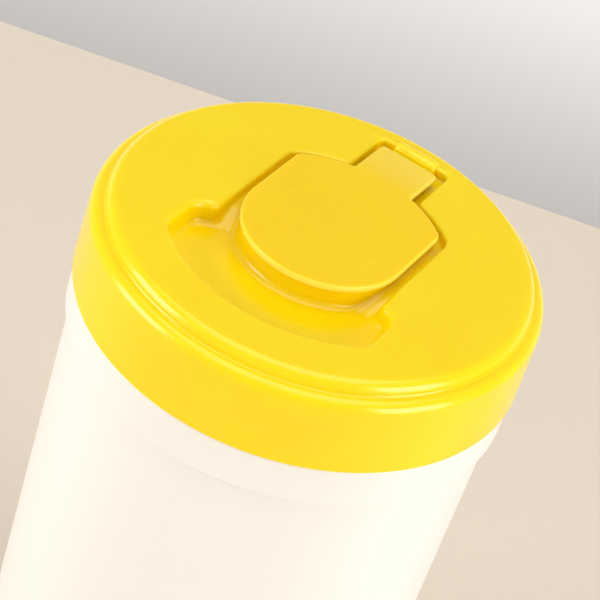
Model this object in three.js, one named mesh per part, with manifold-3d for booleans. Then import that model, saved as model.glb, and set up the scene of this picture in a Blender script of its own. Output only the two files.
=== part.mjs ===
// Wipes canister: a blow-moulded body with a snap lid, a hinged dispensing flap and a centre-feed roll.
// Millimetres, +Z up. The origin is the centre of the ring that the canister stands on.
import * as THREE from 'three';
import { mergeVertices } from 'three/addons/utils/BufferGeometryUtils.js';
import Module from 'manifold-3d';

const wasm = await Module();
wasm.setup();

// Fits
const restGap = 0.3;        // between a piece and the piece that carries it
const sealGap = 0.4;        // lid's inner ring to the inside of the neck
const plugGap = 0.5;        // flap's plug ring to the dispensing cup
const cutOvershoot = 1;     // how far a cutting tool runs past the face that it cuts

// Fineness of the round shapes
const roundSteps = 60;
const smallRoundSteps = 40;
const arcSteps = 4;
const roundingSteps = 3;
const outlineSteps = 6;
const wipeRings = 16;
const wipeSpokes = 30;

// Canister body
const bodyRadius = 50;
const bodyWall = 1.2;
const bodyHeight = 177.7;   // floor to the top of the band
const bodyCorner = 4;       // round from the wall to the standing ring
const standWidth = 4;       // flat ring that the canister stands on
const pushUpHeight = 3.5;   // rise of the hollowed base
const pushUpSlope = 8;      // width of the base's sloping part
const bandStep = 1.45;      // band stands out from the wall
const bandHeight = 10.2;
const bandRound = 0.6;
const neckStep = 0.8;       // neck's wall lies this far inside the body's
const neckHeight = 16.3;
const beadHeight = 0.75;    // snap bead on the neck
const beadSpan = 2;
const beadLevel = 7.7;      // bead's middle above the lid's lower edge

// Lid
const skirtGap = 1.4;       // neck to the inside of the skirt
const skirtDraft = 0.55;    // the skirt narrows by this much towards its shoulder
const skirtWall = 1.4;
const skirtHeight = 18.65;  // lower edge to ledge
const skirtChamfer = 0.3;
const shoulderRound = 2.5;
const lidWall = 1.5;
const ledgeWidth = 3.6;     // outside of the skirt to the raised deck
const deckRise = 3;         // raised deck above the ledge
const deckRound = 2.3;
const ledgeFillet = 0.5;
const lidBeadGap = 0.3;     // lid's bead clears the neck's bead by this much
const lidBeadLevel = 4.9;
const sealWall = 1;
const sealDepth = 8;        // inner ring hangs this far below the deck's underside

// Flap
const flapHalfWidth = 19.1;
const flapFrontCentre = -0.55;
const flapBackRadius = 27;
const flapBackCentre = -0.76;
const flapCorner = 2.6;
const flapThickness = 1.5;
const flapEdgeRound = 0.35;
const flapProud = 1.2;      // flap's top above the deck
const stripHalfWidth = 7.5;
const stripDrop = 0.6;      // strip falls this much from the flap to the fold
const hingeSpan = 2.9;      // fold to the hinge bar
const knuckleRadius = 0.85;

// Plug ring under the flap and the dispensing cup that it closes
const cupCentreY = 3.5;
const cupRadius = 14.7;
const cupDepth = 7;
const cupWall = 1.3;
const plugWall = 1.1;
const plugDepth = 3;
const orificeRadius = 3.2;
const slitCount = 6;
const slitReach = 7.5;
const slitWidth = 0.9;

// Pocket round the flap, boss under it, and finger well before it
const pocketGap = 2;
const pocketDepth = 2.6;
const bossInset = 0.8;
const stripPocketGap = 1.7;
const barOverlap = 1.2;     // the bar's front stands in the strip's pocket by this much
const stripPocketCorner = 1.5;
const wellDepth = 5.35;
const wellFrontCentre = -2.36;
const wellFrontRadius = 34;
const wellHalfWidth = 25.5;
const wellBack = -4;
const earRadius = 5;
const earBack = -16.8;
const earFillet = 2.5;
const wellFloorRound = 3;

// Hinge bar behind the strip
const barHalfLength = 5.55;
const barInset = 3.65;      // edge of the raised deck to the bar's back
const barWidth = 3.75;
const barProud = 0.8;       // bar's top above the deck
const barRound = 0.5;

// Wipes
const rollGap = 3.3;        // roll to the inside of the body's wall
const rollHeight = 160;
const rollHole = 14;
const rollRidges = 9;       // turns shown on the roll's ends
const rollRidgeDepth = 0.8;
const wipeGap = 0.5;        // twisted wipe to the roll's hole
const wipeNeckRadius = 2.2;
const wipeLobes = 5;
const wipeLobeDepth = 0.16; // share of the radius
const wipeTwist = 2.4;      // radians over the whole length
const wipeGather = 38;      // length of the cone from the roll's hole to the neck
const wipeTailBelowFlap = 2.2;

// Radii and places that follow from the body, from the outside in
const neckRadius = bodyRadius - neckStep;
const skirtRadius = neckRadius + skirtGap + skirtWall;
const deckRadius = skirtRadius - ledgeWidth;
const barFront = deckRadius - barInset - barWidth;
const hingeY = barFront - hingeSpan;
const stripPocketBack = barFront + barOverlap;
const rollRadius = bodyRadius - bodyWall - rollGap;

// Levels. The lid, the flap and their details are measured from the lid's lower edge.
const skirtBottom = bodyHeight + restGap;
const ledgeLevel = skirtHeight;
const deckLevel = skirtHeight + deckRise;
const deckUnderside = deckLevel - lidWall;
const flapTop = deckLevel + flapProud;
const flapUnderside = flapTop - flapThickness;
const bossTop = flapUnderside - restGap;
const cupFloor = bossTop - cupDepth;
const pocketFloor = deckLevel - pocketDepth;
const wellFloor = deckLevel - wellDepth;
const hingeZ = flapTop - stripDrop - knuckleRadius;
const rollBottom = pushUpHeight + bodyWall + restGap;
const rollTop = rollBottom + rollHeight;

const yellow = 0xfbd926;
const white = 0xfaf8f3;
const wipeWhite = 0xf3f5f5;

function plastic(color, roughness) {
  return new THREE.MeshStandardMaterial({ color, roughness, metalness: 0 });
}

// Points of an arc in a profile, from one angle to another in degrees
function arc(centreX, centreY, radius, from, to, steps = arcSteps) {
  const points = [];
  for (let i = 0; i <= steps; i += 1) {
    const angle = THREE.MathUtils.degToRad(from + ((to - from) * i) / steps);
    points.push([centreX + radius * Math.cos(angle), centreY + radius * Math.sin(angle)]);
  }
  return points;
}

// Closed solid from any geometry: doubles merged, slivers dropped, faces turned outwards
function toSolid(geometry) {
  const bare = new THREE.BufferGeometry();
  bare.setAttribute('position', geometry.getAttribute('position'));
  bare.setIndex(geometry.getIndex());
  const merged = mergeVertices(bare, 1e-4);
  const vertices = merged.getAttribute('position').array;
  const index = merged.getIndex().array;
  const triangles = [];
  let volume = 0;
  for (let i = 0; i < index.length; i += 3) {
    const [a, b, c] = [index[i], index[i + 1], index[i + 2]];
    if (a === b || b === c || c === a) continue;
    triangles.push(a, b, c);
    const p = new THREE.Vector3().fromArray(vertices, a * 3);
    const q = new THREE.Vector3().fromArray(vertices, b * 3);
    const r = new THREE.Vector3().fromArray(vertices, c * 3);
    volume += p.dot(q.cross(r));
  }
  if (volume < 0) triangles.reverse();
  return new wasm.Manifold(new wasm.Mesh({
    numProp: 3,
    vertProperties: new Float32Array(vertices),
    triVerts: new Uint32Array(triangles),
  }));
}

// Mesh for the scene from a finished solid
function toMesh(name, solid, material) {
  const { vertProperties, triVerts } = solid.getMesh();
  const geometry = new THREE.BufferGeometry();
  geometry.setAttribute('position', new THREE.BufferAttribute(vertProperties, 3));
  geometry.setIndex(new THREE.BufferAttribute(triVerts, 1));
  geometry.computeVertexNormals();
  const mesh = new THREE.Mesh(geometry, material);
  mesh.name = name;
  return mesh;
}

// Solid of revolution about Z from a closed profile of [radius, height] points
function revolve(profile, steps = roundSteps) {
  const points = profile.map(([radius, height]) => new THREE.Vector2(Math.max(radius, 0), height));
  points.push(points[0].clone());
  const geometry = new THREE.LatheGeometry(points, steps);
  geometry.rotateX(Math.PI / 2);
  return toSolid(geometry);
}

// Upright prism of an outline between two heights
function prism(shape, bottom, top) {
  const geometry = new THREE.ExtrudeGeometry(shape, {
    depth: top - bottom, bevelEnabled: false, curveSegments: outlineSteps,
  });
  geometry.translate(0, 0, bottom);
  return toSolid(geometry);
}

// Prism whose lower and upper edges are rounded inside its outline
function roundedPrism(shape, bottom, top, round) {
  const geometry = new THREE.ExtrudeGeometry(shape, {
    depth: top - bottom - 2 * round,
    bevelThickness: round,
    bevelSize: round,
    bevelOffset: -round,
    bevelSegments: roundingSteps,
    curveSegments: outlineSteps,
  });
  geometry.translate(0, 0, bottom + round);
  return toSolid(geometry);
}

// Solid with a side outline in the Y-Z plane, reaching the same distance to both sides of X = 0
function crosswise(shape, halfLength, round = 0) {
  const geometry = new THREE.ExtrudeGeometry(shape, {
    depth: 2 * (halfLength - round),
    bevelEnabled: round > 0,
    bevelThickness: round,
    bevelSize: round,
    bevelOffset: -round,
    bevelSegments: roundingSteps,
    curveSegments: outlineSteps,
  });
  geometry.translate(0, 0, round - halfLength);
  const toSide = new THREE.Matrix4().makeBasis(
    new THREE.Vector3(0, 1, 0),
    new THREE.Vector3(0, 0, 1),
    new THREE.Vector3(1, 0, 0),
  );
  geometry.applyMatrix4(toSide);
  return toSolid(geometry);
}

function cylinder(radius, bottom, top, centreY) {
  const profile = [[0, bottom], [radius, bottom], [radius, top], [0, top]];
  return revolve(profile, smallRoundSteps).translate([0, centreY, 0]);
}

// The flap's own outline, or one that runs beside it, grown or shrunk by a distance
function flapOutline(grow) {
  const half = flapHalfWidth + grow;
  const corner = flapCorner + grow;
  const back = flapBackRadius + grow;
  const inner = half - corner;
  const rise = Math.sqrt((back - corner) ** 2 - inner ** 2);
  const turn = Math.atan2(rise, inner);
  const shape = new THREE.Shape();
  shape.absarc(0, flapFrontCentre, half, Math.PI, 2 * Math.PI, false);
  shape.absarc(inner, flapBackCentre + rise, corner, 0, turn, false);
  shape.absarc(0, flapBackCentre, back, turn, Math.PI - turn, false);
  shape.absarc(-inner, flapBackCentre + rise, corner, Math.PI - turn, Math.PI, false);
  shape.closePath();
  return shape;
}

// The finger well: an arc at the front, an ear at each side, then the pocket's straight sides
function wellOutline(grow) {
  const side = flapHalfWidth + pocketGap + grow;
  const half = wellHalfWidth + grow;
  const ear = earRadius + grow;
  const fillet = earFillet - grow;
  const front = wellFrontRadius + grow;
  const earX = half - ear;
  const frontDrop = Math.sqrt((front - ear) ** 2 - earX ** 2);
  const frontTurn = Math.atan2(frontDrop, earX);
  const swing = Math.acos((side + fillet - earX) / (fillet + ear));
  const filletY = earBack + (fillet + ear) * Math.sin(swing);
  const earFrontY = wellFrontCentre - frontDrop;
  const shape = new THREE.Shape();
  shape.moveTo(side, wellBack + grow);
  shape.lineTo(-side, wellBack + grow);
  shape.absarc(-side - fillet, filletY, fillet, 0, -swing, true);
  shape.absarc(-earX, earBack, ear, Math.PI - swing, Math.PI, false);
  shape.absarc(-earX, earFrontY, ear, Math.PI, Math.PI + frontTurn, false);
  shape.absarc(0, wellFrontCentre, front, Math.PI + frontTurn, 2 * Math.PI - frontTurn, false);
  shape.absarc(earX, earFrontY, ear, -frontTurn, 0, false);
  shape.absarc(earX, earBack, ear, 0, swing, false);
  shape.absarc(side + fillet, filletY, fillet, Math.PI + swing, Math.PI, true);
  shape.closePath();
  return shape;
}

// The narrow pocket that the hinge strip lies in
function stripPocketOutline(grow) {
  const half = stripHalfWidth + stripPocketGap + grow;
  const back = stripPocketBack + grow;
  const corner = stripPocketCorner + grow;
  const shape = new THREE.Shape();
  shape.moveTo(-half, flapBackCentre);
  shape.lineTo(half, flapBackCentre);
  shape.absarc(half - corner, back - corner, corner, 0, Math.PI / 2, false);
  shape.absarc(corner - half, back - corner, corner, Math.PI / 2, Math.PI, false);
  shape.closePath();
  return shape;
}

function makeCanisterBody() {
  const bandRadius = bodyRadius + bandStep;
  const bandBottom = bodyHeight - bandHeight;
  const standOuter = bodyRadius - bodyCorner;
  const standInner = standOuter - standWidth;
  const domeRadius = standInner - pushUpSlope;
  const neckTop = skirtBottom + neckHeight;
  const neckInside = neckRadius - bodyWall;
  const bead = skirtBottom + beadLevel;
  const outside = [
    [0, pushUpHeight],
    [domeRadius, pushUpHeight],
    [standInner, 0],
    ...arc(standOuter, bodyCorner, bodyCorner, -90, 0),
    [bodyRadius, bandBottom - bandStep / 2],
    [bandRadius, bandBottom],
    ...arc(bandRadius - bandRound, bodyHeight - bandRound, bandRound, 0, 90, 3),
    [neckRadius, bodyHeight],
    [neckRadius, bead - beadSpan / 2],
    [neckRadius + beadHeight, bead - beadSpan / 8],
    [neckRadius + beadHeight, bead + beadSpan / 8],
    [neckRadius, bead + beadSpan / 2],
    ...arc(neckRadius - bodyWall / 2, neckTop - bodyWall / 2, bodyWall / 2, 0, 180, 4),
  ];
  const inside = [
    [neckInside, bodyHeight - bodyWall],
    [bandRadius - bodyWall, bodyHeight - 2 * bodyWall],
    [bandRadius - bodyWall, bandBottom + bodyWall / 2],
    [bodyRadius - bodyWall, bandBottom - bodyWall],
    ...arc(standOuter, bodyCorner, bodyCorner - bodyWall, 0, -90, 3),
    [standInner + bodyWall / 2, bodyWall],
    [domeRadius + bodyWall / 2, pushUpHeight + bodyWall],
    [0, pushUpHeight + bodyWall],
  ];
  return toMesh('canister_body', revolve([...outside, ...inside]), plastic(white, 0.35));
}

// Skirt, shoulder, ledge and deck with the inner ring that seals against the neck
function makeLidShell() {
  const shoulderRadius = skirtRadius - skirtDraft;
  const skirtInside = skirtRadius - skirtWall;
  const sealOuter = neckRadius - bodyWall - sealGap;
  const sealInner = sealOuter - sealWall;
  const sealBottom = deckUnderside - sealDepth;
  const ledgeUnderside = ledgeLevel - lidWall;
  const lidBead = neckRadius + beadHeight + lidBeadGap;
  const beadRise = skirtInside - lidBead;
  return revolve([
    [skirtInside + skirtChamfer, 0],
    [skirtRadius - skirtChamfer, 0],
    [skirtRadius, skirtChamfer],
    ...arc(shoulderRadius - shoulderRound, ledgeLevel - shoulderRound, shoulderRound, 0, 90),
    ...arc(deckRadius + ledgeFillet, ledgeLevel + ledgeFillet, ledgeFillet, -90, -180, 2),
    ...arc(deckRadius - deckRound, deckLevel - deckRound, deckRound, 0, 90),
    [0, deckLevel],
    [0, deckUnderside],
    [sealInner, deckUnderside],
    [sealInner, sealBottom],
    [sealOuter - sealWall / 2, sealBottom],
    [sealOuter, sealBottom + sealWall / 2],
    [sealOuter, ledgeUnderside],
    [skirtInside, ledgeUnderside],
    [skirtInside, lidBeadLevel + 2 * beadRise],
    [lidBead, lidBeadLevel + beadRise / 2],
    [lidBead, lidBeadLevel - beadRise / 2],
    [skirtInside, lidBeadLevel - 2 * beadRise],
    [skirtInside, skirtChamfer],
  ]);
}

// Round hole with slits that grip the wipe
function makeOrifice() {
  const bottom = cupFloor - cupWall - cutOvershoot;
  const top = cupFloor + cutOvershoot;
  let orifice = cylinder(orificeRadius, bottom, top, cupCentreY);
  for (let i = 0; i < slitCount; i += 1) {
    const slit = new THREE.BoxGeometry(slitReach, slitWidth, top - bottom);
    slit.translate(slitReach / 2, 0, (bottom + top) / 2);
    slit.rotateZ((2 * Math.PI * i) / slitCount);
    slit.translate(0, cupCentreY, 0);
    orifice = orifice.add(toSolid(slit));
  }
  return orifice;
}

// Rounded bar that the strip folds against
function makeHingeBar() {
  const radius = barWidth / 2;
  const centreY = barFront + radius;
  const centreZ = deckLevel + barProud - radius;
  const side = new THREE.Shape();
  side.moveTo(barFront, pocketFloor - lidWall / 2);
  side.lineTo(barFront + barWidth, pocketFloor - lidWall / 2);
  side.absarc(centreY, centreZ, radius, 0, Math.PI, false);
  side.closePath();
  return crosswise(side, barHalfLength, barRound);
}

function makeLid() {
  const top = deckLevel + cutOvershoot;
  const pocketUnderside = pocketFloor - lidWall;
  const wellUnderside = wellFloor - lidWall;
  const trayTop = deckUnderside + lidWall / 2;
  const trays = prism(flapOutline(pocketGap + lidWall), pocketUnderside, trayTop)
    .add(prism(stripPocketOutline(lidWall), pocketUnderside, trayTop))
    .add(prism(wellOutline(lidWall), wellUnderside, trayTop));
  const hollows = prism(flapOutline(pocketGap), pocketFloor, top)
    .add(prism(stripPocketOutline(0), pocketFloor, top))
    .add(roundedPrism(wellOutline(0), wellFloor, top + wellFloorRound, wellFloorRound));
  const boss = prism(flapOutline(-bossInset), wellUnderside, bossTop);
  const bossFoot = wellUnderside - cutOvershoot;
  const bossInside = prism(flapOutline(-bossInset - lidWall), bossFoot, bossTop - lidWall);
  const cup = cylinder(cupRadius + cupWall, cupFloor - cupWall, bossTop, cupCentreY);
  const cupInside = cylinder(cupRadius, cupFloor, bossTop + cutOvershoot, cupCentreY);
  const solid = makeLidShell()
    .add(trays)
    .subtract(hollows)
    .add(boss)
    .subtract(bossInside)
    .add(cup)
    .subtract(cupInside)
    .subtract(makeOrifice())
    .add(makeHingeBar());
  return toMesh('lid', solid, plastic(yellow, 0.28));
}

// Strip from the flap to the fold, seen from the side
function makeStrip() {
  const start = flapBackCentre + flapBackRadius - flapThickness * 2;
  const notch = flapBackCentre + flapBackRadius;
  const side = new THREE.Shape();
  side.moveTo(start, flapUnderside);
  side.lineTo(notch, flapUnderside);
  side.absarc(hingeY, hingeZ, knuckleRadius, -Math.PI / 2, Math.PI / 2, false);
  side.lineTo(notch, flapTop);
  side.lineTo(start, flapTop);
  side.closePath();
  return crosswise(side, stripHalfWidth);
}

function makeFlap() {
  const plugOuter = cupRadius - plugGap;
  const plugInner = plugOuter - plugWall;
  const plugBottom = flapUnderside - plugDepth;
  const plug = revolve([
    [plugInner, flapUnderside + flapThickness / 2],
    [plugInner, plugBottom],
    [plugOuter - plugWall / 2, plugBottom],
    [plugOuter, plugBottom + plugWall / 2],
    [plugOuter, flapUnderside + flapThickness / 2],
  ], smallRoundSteps).translate([0, cupCentreY, 0]);
  const solid = roundedPrism(flapOutline(0), flapUnderside, flapTop, flapEdgeRound)
    .add(makeStrip())
    .add(plug);
  return toMesh('flap', solid, plastic(yellow, 0.3));
}

// One solid for the whole roll, with ridges for its turns on both ends
function makeRoll() {
  const pitch = (rollRadius - rollHole) / rollRidges;
  const upper = [];
  const lower = [];
  for (let i = 0; i < rollRidges; i += 1) {
    const radius = rollRadius - i * pitch;
    upper.push([radius, rollTop - rollRidgeDepth], [radius - pitch / 2, rollTop]);
    lower.unshift([radius - pitch / 2, rollBottom], [radius, rollBottom + rollRidgeDepth]);
  }
  upper.push([rollHole, rollTop - rollRidgeDepth]);
  lower.unshift([rollHole, rollBottom + rollRidgeDepth]);
  return toMesh('wipes_roll', revolve([...lower, ...upper]), plastic(wipeWhite, 0.9));
}

// The roll's inner end, gathered to a twisted cord that passes through the orifice
function makeLeadWipe() {
  const bottom = rollTop - wipeGather / 2;
  const gathered = rollTop + wipeGather / 2;
  const top = skirtBottom + flapUnderside - wipeTailBelowFlap;
  const wide = (rollHole - wipeGap) / (1 + wipeLobeDepth);
  const vertices = [];
  const triangles = [];
  for (let i = 0; i <= wipeRings; i += 1) {
    const share = i / wipeRings;
    const height = bottom + (top - bottom) * share;
    const gather = THREE.MathUtils.smoothstep(height, bottom, gathered);
    const radius = THREE.MathUtils.lerp(wide, wipeNeckRadius, gather);
    const centreY = cupCentreY * gather;
    for (let j = 0; j < wipeSpokes; j += 1) {
      const angle = (2 * Math.PI * j) / wipeSpokes;
      const lobe = 1 + wipeLobeDepth * Math.cos(wipeLobes * (angle - wipeTwist * share));
      vertices.push(radius * lobe * Math.cos(angle), centreY + radius * lobe * Math.sin(angle), height);
    }
  }
  for (let i = 0; i < wipeRings; i += 1) {
    for (let j = 0; j < wipeSpokes; j += 1) {
      const a = i * wipeSpokes + j;
      const b = i * wipeSpokes + ((j + 1) % wipeSpokes);
      triangles.push(a, b, a + wipeSpokes, b, b + wipeSpokes, a + wipeSpokes);
    }
  }
  vertices.push(0, 0, bottom, 0, cupCentreY, top);
  const low = (wipeRings + 1) * wipeSpokes;
  for (let j = 0; j < wipeSpokes; j += 1) {
    const next = (j + 1) % wipeSpokes;
    triangles.push(low, next, j, low + 1, wipeRings * wipeSpokes + j, wipeRings * wipeSpokes + next);
  }
  const geometry = new THREE.BufferGeometry();
  geometry.setAttribute('position', new THREE.Float32BufferAttribute(vertices, 3));
  geometry.setIndex(triangles);
  return toMesh('lead_wipe', toSolid(geometry), plastic(wipeWhite, 0.95));
}

const canister = new THREE.Group();
const lidGroup = new THREE.Group();
lidGroup.position.z = skirtBottom;
lidGroup.add(makeLid(), makeFlap());
canister.add(makeCanisterBody(), makeRoll(), makeLeadWipe(), lidGroup);

export default canister;
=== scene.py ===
# Wipes canister: a white blow-moulded body, a yellow snap lid with a dispensing flap, and the roll inside.
import math
import bmesh
import bpy
import numpy as np
from mathutils import Matrix, Vector, noise


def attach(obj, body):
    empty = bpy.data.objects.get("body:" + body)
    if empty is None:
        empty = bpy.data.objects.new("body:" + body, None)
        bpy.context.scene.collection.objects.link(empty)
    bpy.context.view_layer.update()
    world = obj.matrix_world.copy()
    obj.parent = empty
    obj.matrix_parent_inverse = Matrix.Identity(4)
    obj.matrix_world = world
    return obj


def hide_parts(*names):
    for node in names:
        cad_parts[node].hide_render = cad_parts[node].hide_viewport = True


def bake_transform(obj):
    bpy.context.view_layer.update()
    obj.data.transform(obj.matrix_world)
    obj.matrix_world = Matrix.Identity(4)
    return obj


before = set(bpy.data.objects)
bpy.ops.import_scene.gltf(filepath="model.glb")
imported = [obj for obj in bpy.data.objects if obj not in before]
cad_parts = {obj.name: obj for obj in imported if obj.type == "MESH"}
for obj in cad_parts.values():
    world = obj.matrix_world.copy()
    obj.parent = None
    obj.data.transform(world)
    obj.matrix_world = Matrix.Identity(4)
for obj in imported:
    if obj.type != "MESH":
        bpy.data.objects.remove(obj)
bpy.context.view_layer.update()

mm = 0.001
skirtBottom = 178.0      # height of the lid's lower edge; the lid and the flap are measured from it


def sRgb(hexCode):
    # a colour picker's hex value as the linear colour that sockets take
    channels = [int(hexCode[i:i + 2], 16) / 255 for i in (1, 3, 5)]
    linear = [c / 12.92 if c <= 0.04045 else ((c + 0.055) / 1.055) ** 2.4 for c in channels]
    return (*linear, 1.0)


def smoothStep(low, high, value):
    t = np.clip((value - low) / (high - low), 0, 1)
    return t * t * (3 - 2 * t)


# Camera, at the photo's viewing angle
cameraPlace = {
    "spot": (126.96, -359.12, 478.59),   # mm from the middle of the base
    "heading": 19.555,                   # degrees to the left of +Y
    "pitch": 38.137,                     # degrees down
    "roll": 19.113,
    "lens": 129.8,
}


def makeCamera(c):
    data = bpy.data.cameras.new("photoCamera")
    data.sensor_width = 36
    data.lens = c["lens"]
    data.clip_start = 0.01
    camera = bpy.data.objects.new("photoCamera", data)
    bpy.context.collection.objects.link(camera)
    turn = (
        Matrix.Rotation(math.radians(c["heading"]), 4, "Z")
        @ Matrix.Rotation(math.radians(90 - c["pitch"]), 4, "X")
        @ Matrix.Rotation(math.radians(c["roll"]), 4, "Z")
    )
    camera.matrix_world = Matrix.Translation(Vector(c["spot"]) * mm) @ turn
    bpy.context.scene.camera = camera


makeCamera(cameraPlace)
print("camera placed")


# Mesh helpers

def finishPiece(bm, name, body, material, nodes=(), sharpAngle=50):
    # weld, turn faces outwards, link the object, then put it under its body, give it its material in a slot and
    # hide the nodes that it stands for
    bmesh.ops.remove_doubles(bm, verts=bm.verts, dist=0.002 * mm)
    bmesh.ops.dissolve_degenerate(bm, edges=bm.edges, dist=0.001 * mm)
    bmesh.ops.recalc_face_normals(bm, faces=bm.faces)
    mesh = bpy.data.meshes.new(name)
    bm.to_mesh(mesh)
    bm.free()
    mesh.shade_smooth()
    mesh.set_sharp_from_angle(angle=math.radians(sharpAngle))
    mesh.materials.append(material)
    piece = bpy.data.objects.new(name, mesh)
    bpy.context.collection.objects.link(piece)
    if body:
        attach(piece, body)
    if nodes:
        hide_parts(*nodes)
    return piece


def cornerReach(corners, i):
    # how far a corner's arc reaches along its two sides
    if i in (0, len(corners) - 1) or len(corners[i]) < 3:
        return 0
    here = Vector(corners[i][:2])
    half = (Vector(corners[i - 1][:2]) - here).angle(Vector(corners[i + 1][:2]) - here) / 2
    return corners[i][2] / math.tan(half)


def roundPath(corners, stepAngle=9, support=0.3):
    # corners are (x, y, round); each corner with a round becomes an arc, held by a point on either side
    points = []
    for i, (x, y, *rest) in enumerate(corners):
        here = Vector((x, y))
        reach = cornerReach(corners, i)
        if not reach:
            points.append(here)
            continue
        radius = rest[0]
        before = (Vector(corners[i - 1][:2]) - here).normalized()
        after = (Vector(corners[i + 1][:2]) - here).normalized()
        half = before.angle(after) / 2
        centre = here + (before + after).normalized() * (radius / math.sin(half))
        sweep = math.pi - 2 * half
        start = here + before * reach - centre
        sign = 1 if before.cross(after) < 0 else -1
        steps = max(2, round(math.degrees(sweep) / stepAngle))
        arcPoints = []
        for k in range(steps + 1):
            turned = start.copy()
            turned.rotate(Matrix.Rotation(sign * sweep * k / steps, 2))
            arcPoints.append(centre + turned)
        room = (Vector(corners[i - 1][:2]) - here).length - reach - cornerReach(corners, i - 1)
        if room > 3 * support:
            points.append(here + before * (reach + support))
        points.extend(arcPoints)
        room = (Vector(corners[i + 1][:2]) - here).length - reach - cornerReach(corners, i + 1)
        if room > 3 * support:
            points.append(here + after * (reach + support))
    return points


def spinPath(bm, points, steps, closed=False):
    # revolve a path of (radius, height) points about Z
    verts = [bm.verts.new((p[0] * mm, 0, p[1] * mm)) for p in points]
    pairs = list(zip(verts, verts[1:])) + ([(verts[-1], verts[0])] if closed else [])
    edges = [bm.edges.new(pair) for pair in pairs]
    bmesh.ops.spin(
        bm, geom=verts + edges, cent=(0, 0, 0), axis=(0, 0, 1),
        angle=2 * math.pi, steps=steps, use_merge=True,
    )


def loopEdges(bm, verts):
    pairs = zip(verts, verts[1:] + verts[:1])
    return [bm.edges.get(pair) or bm.edges.new(pair) for pair in pairs]


def startLoop(bm, points):
    verts = [bm.verts.new(Vector(p) * mm) for p in points]
    loopEdges(bm, verts)
    return verts


def growLoop(bm, verts, points):
    # extrude a closed loop and move each new vertex to its own point
    made = bmesh.ops.extrude_edge_only(bm, edges=loopEdges(bm, verts))["geom"]
    fresh = {v for v in made if isinstance(v, bmesh.types.BMVert)}
    grown = []
    for vert, point in zip(verts, points):
        partner = next(e.other_vert(vert) for e in vert.link_edges if e.other_vert(vert) in fresh)
        partner.co = Vector(point) * mm
        grown.append(partner)
    return grown


def growLoops(bm, verts, rows):
    for row in rows:
        verts = growLoop(bm, verts, row)
    return verts


def fillFlat(bm, *loops):
    # triangles between closed loops that lie in one level plane
    edges = [edge for loop in loops for edge in loopEdges(bm, loop)]
    bmesh.ops.triangle_fill(bm, use_beauty=True, use_dissolve=False, edges=edges, normal=(0, 0, 1))


def halfOutline(parts):
    # right half of an outline from ("arc", x, y, radius, from, to, steps) and ("line", steps) parts
    points, outward = [], []
    for part in parts:
        if part[0] == "line":
            points.append(part)
            outward.append(None)
            continue
        _, x, y, radius, start, stop, steps = part
        side = 1 if stop > start else -1
        for k in range(steps + 1):
            angle = math.radians(start + (stop - start) * k / steps)
            ray = np.array([math.cos(angle), math.sin(angle)])
            points.append(np.array([x, y]) + radius * ray)
            outward.append(side * ray)
    return straightSteps(points, outward)


def straightSteps(points, outward):
    # replace each line marker by even steps from the point before it to the one after it
    spots, rays = [], []
    for i, point in enumerate(points):
        if isinstance(point, tuple):
            steps = point[1]
            for k in range(1, steps):
                spots.append(points[i - 1] + (points[i + 1] - points[i - 1]) * k / steps)
                rays.append(outward[i - 1])
            continue
        if spots and np.linalg.norm(point - spots[-1]) < 1e-6:
            continue
        spots.append(point)
        rays.append(outward[i])
    return np.array(spots), np.array(rays)


def mirrorOutline(half):
    # whole outline from its right half, which runs from the front point to the back point
    spots, rays = half
    flip = np.array([-1, 1])
    left, leftRays = spots[-2:0:-1] * flip, rays[-2:0:-1] * flip
    return np.vstack([spots, left]), np.vstack([rays, leftRays])


def offsetRow(outline, grow, level):
    # the outline moved outwards by grow, at a level; both may differ from point to point
    spots, rays = outline
    moved = spots + rays * np.broadcast_to(np.reshape(grow, (-1, 1)), (len(spots), 1))
    return np.column_stack([moved, np.broadcast_to(level, len(spots))])


def arcSteps(count):
    return [math.pi / 2 * k / count for k in range(count + 1)]


# Materials

def perMetre(size):
    # a pattern's scale from its size in mm
    return 1000 / size


def addNode(tree, kind, values=None, links=None, **settings):
    # one node with its settings, socket values and the sockets that feed it
    node = tree.nodes.new(kind)
    for key, value in settings.items():
        setattr(node, key, value)
    for key, value in (values or {}).items():
        node.inputs[key].default_value = value
    for key, source in (links or {}).items():
        tree.links.new(source, node.inputs[key])
    return node


def startMaterial(name, values):
    material = bpy.data.materials.new(name)
    material.use_nodes = True
    tree = material.node_tree
    tree.nodes.clear()
    shader = addNode(tree, "ShaderNodeBsdfPrincipled", values)
    addNode(tree, "ShaderNodeOutputMaterial", links={"Surface": shader.outputs[0]})
    place = addNode(tree, "ShaderNodeTexCoord").outputs["Object"]
    return material, tree, shader, place


lidFinish = {
    "colour": "#FCD903", "deepColour": "#FBD501", "shine": 0.5,
    "glow": 0.6, "glowReach": 1.5,       # light inside the wall, and how far it gets in mm
    "roughness": 0.19, "roughLess": 0.03, "roughMore": 0.05, "cloudSize": 22,
    "peelSize": 1.4, "peelHeight": 0.012, "flowSize": 0.9, "flowHeight": 0.01, "flowStretch": 0.05,
    "markCentre": 3.5, "markLevel": skirtBottom + 22.85,     # the plug ring shows through as a faint ring
    "markRadius": 13.6, "markInside": 1.2, "markOutside": 0.9, "markHeight": 0.05,
    "paleFrom": 22, "paleTo": 37, "paleShare": 0.45, "stripLightColour": "#FBDC60",     # painted light: the strip is painted paler towards its end, for light through the thin plastic
}


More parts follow.
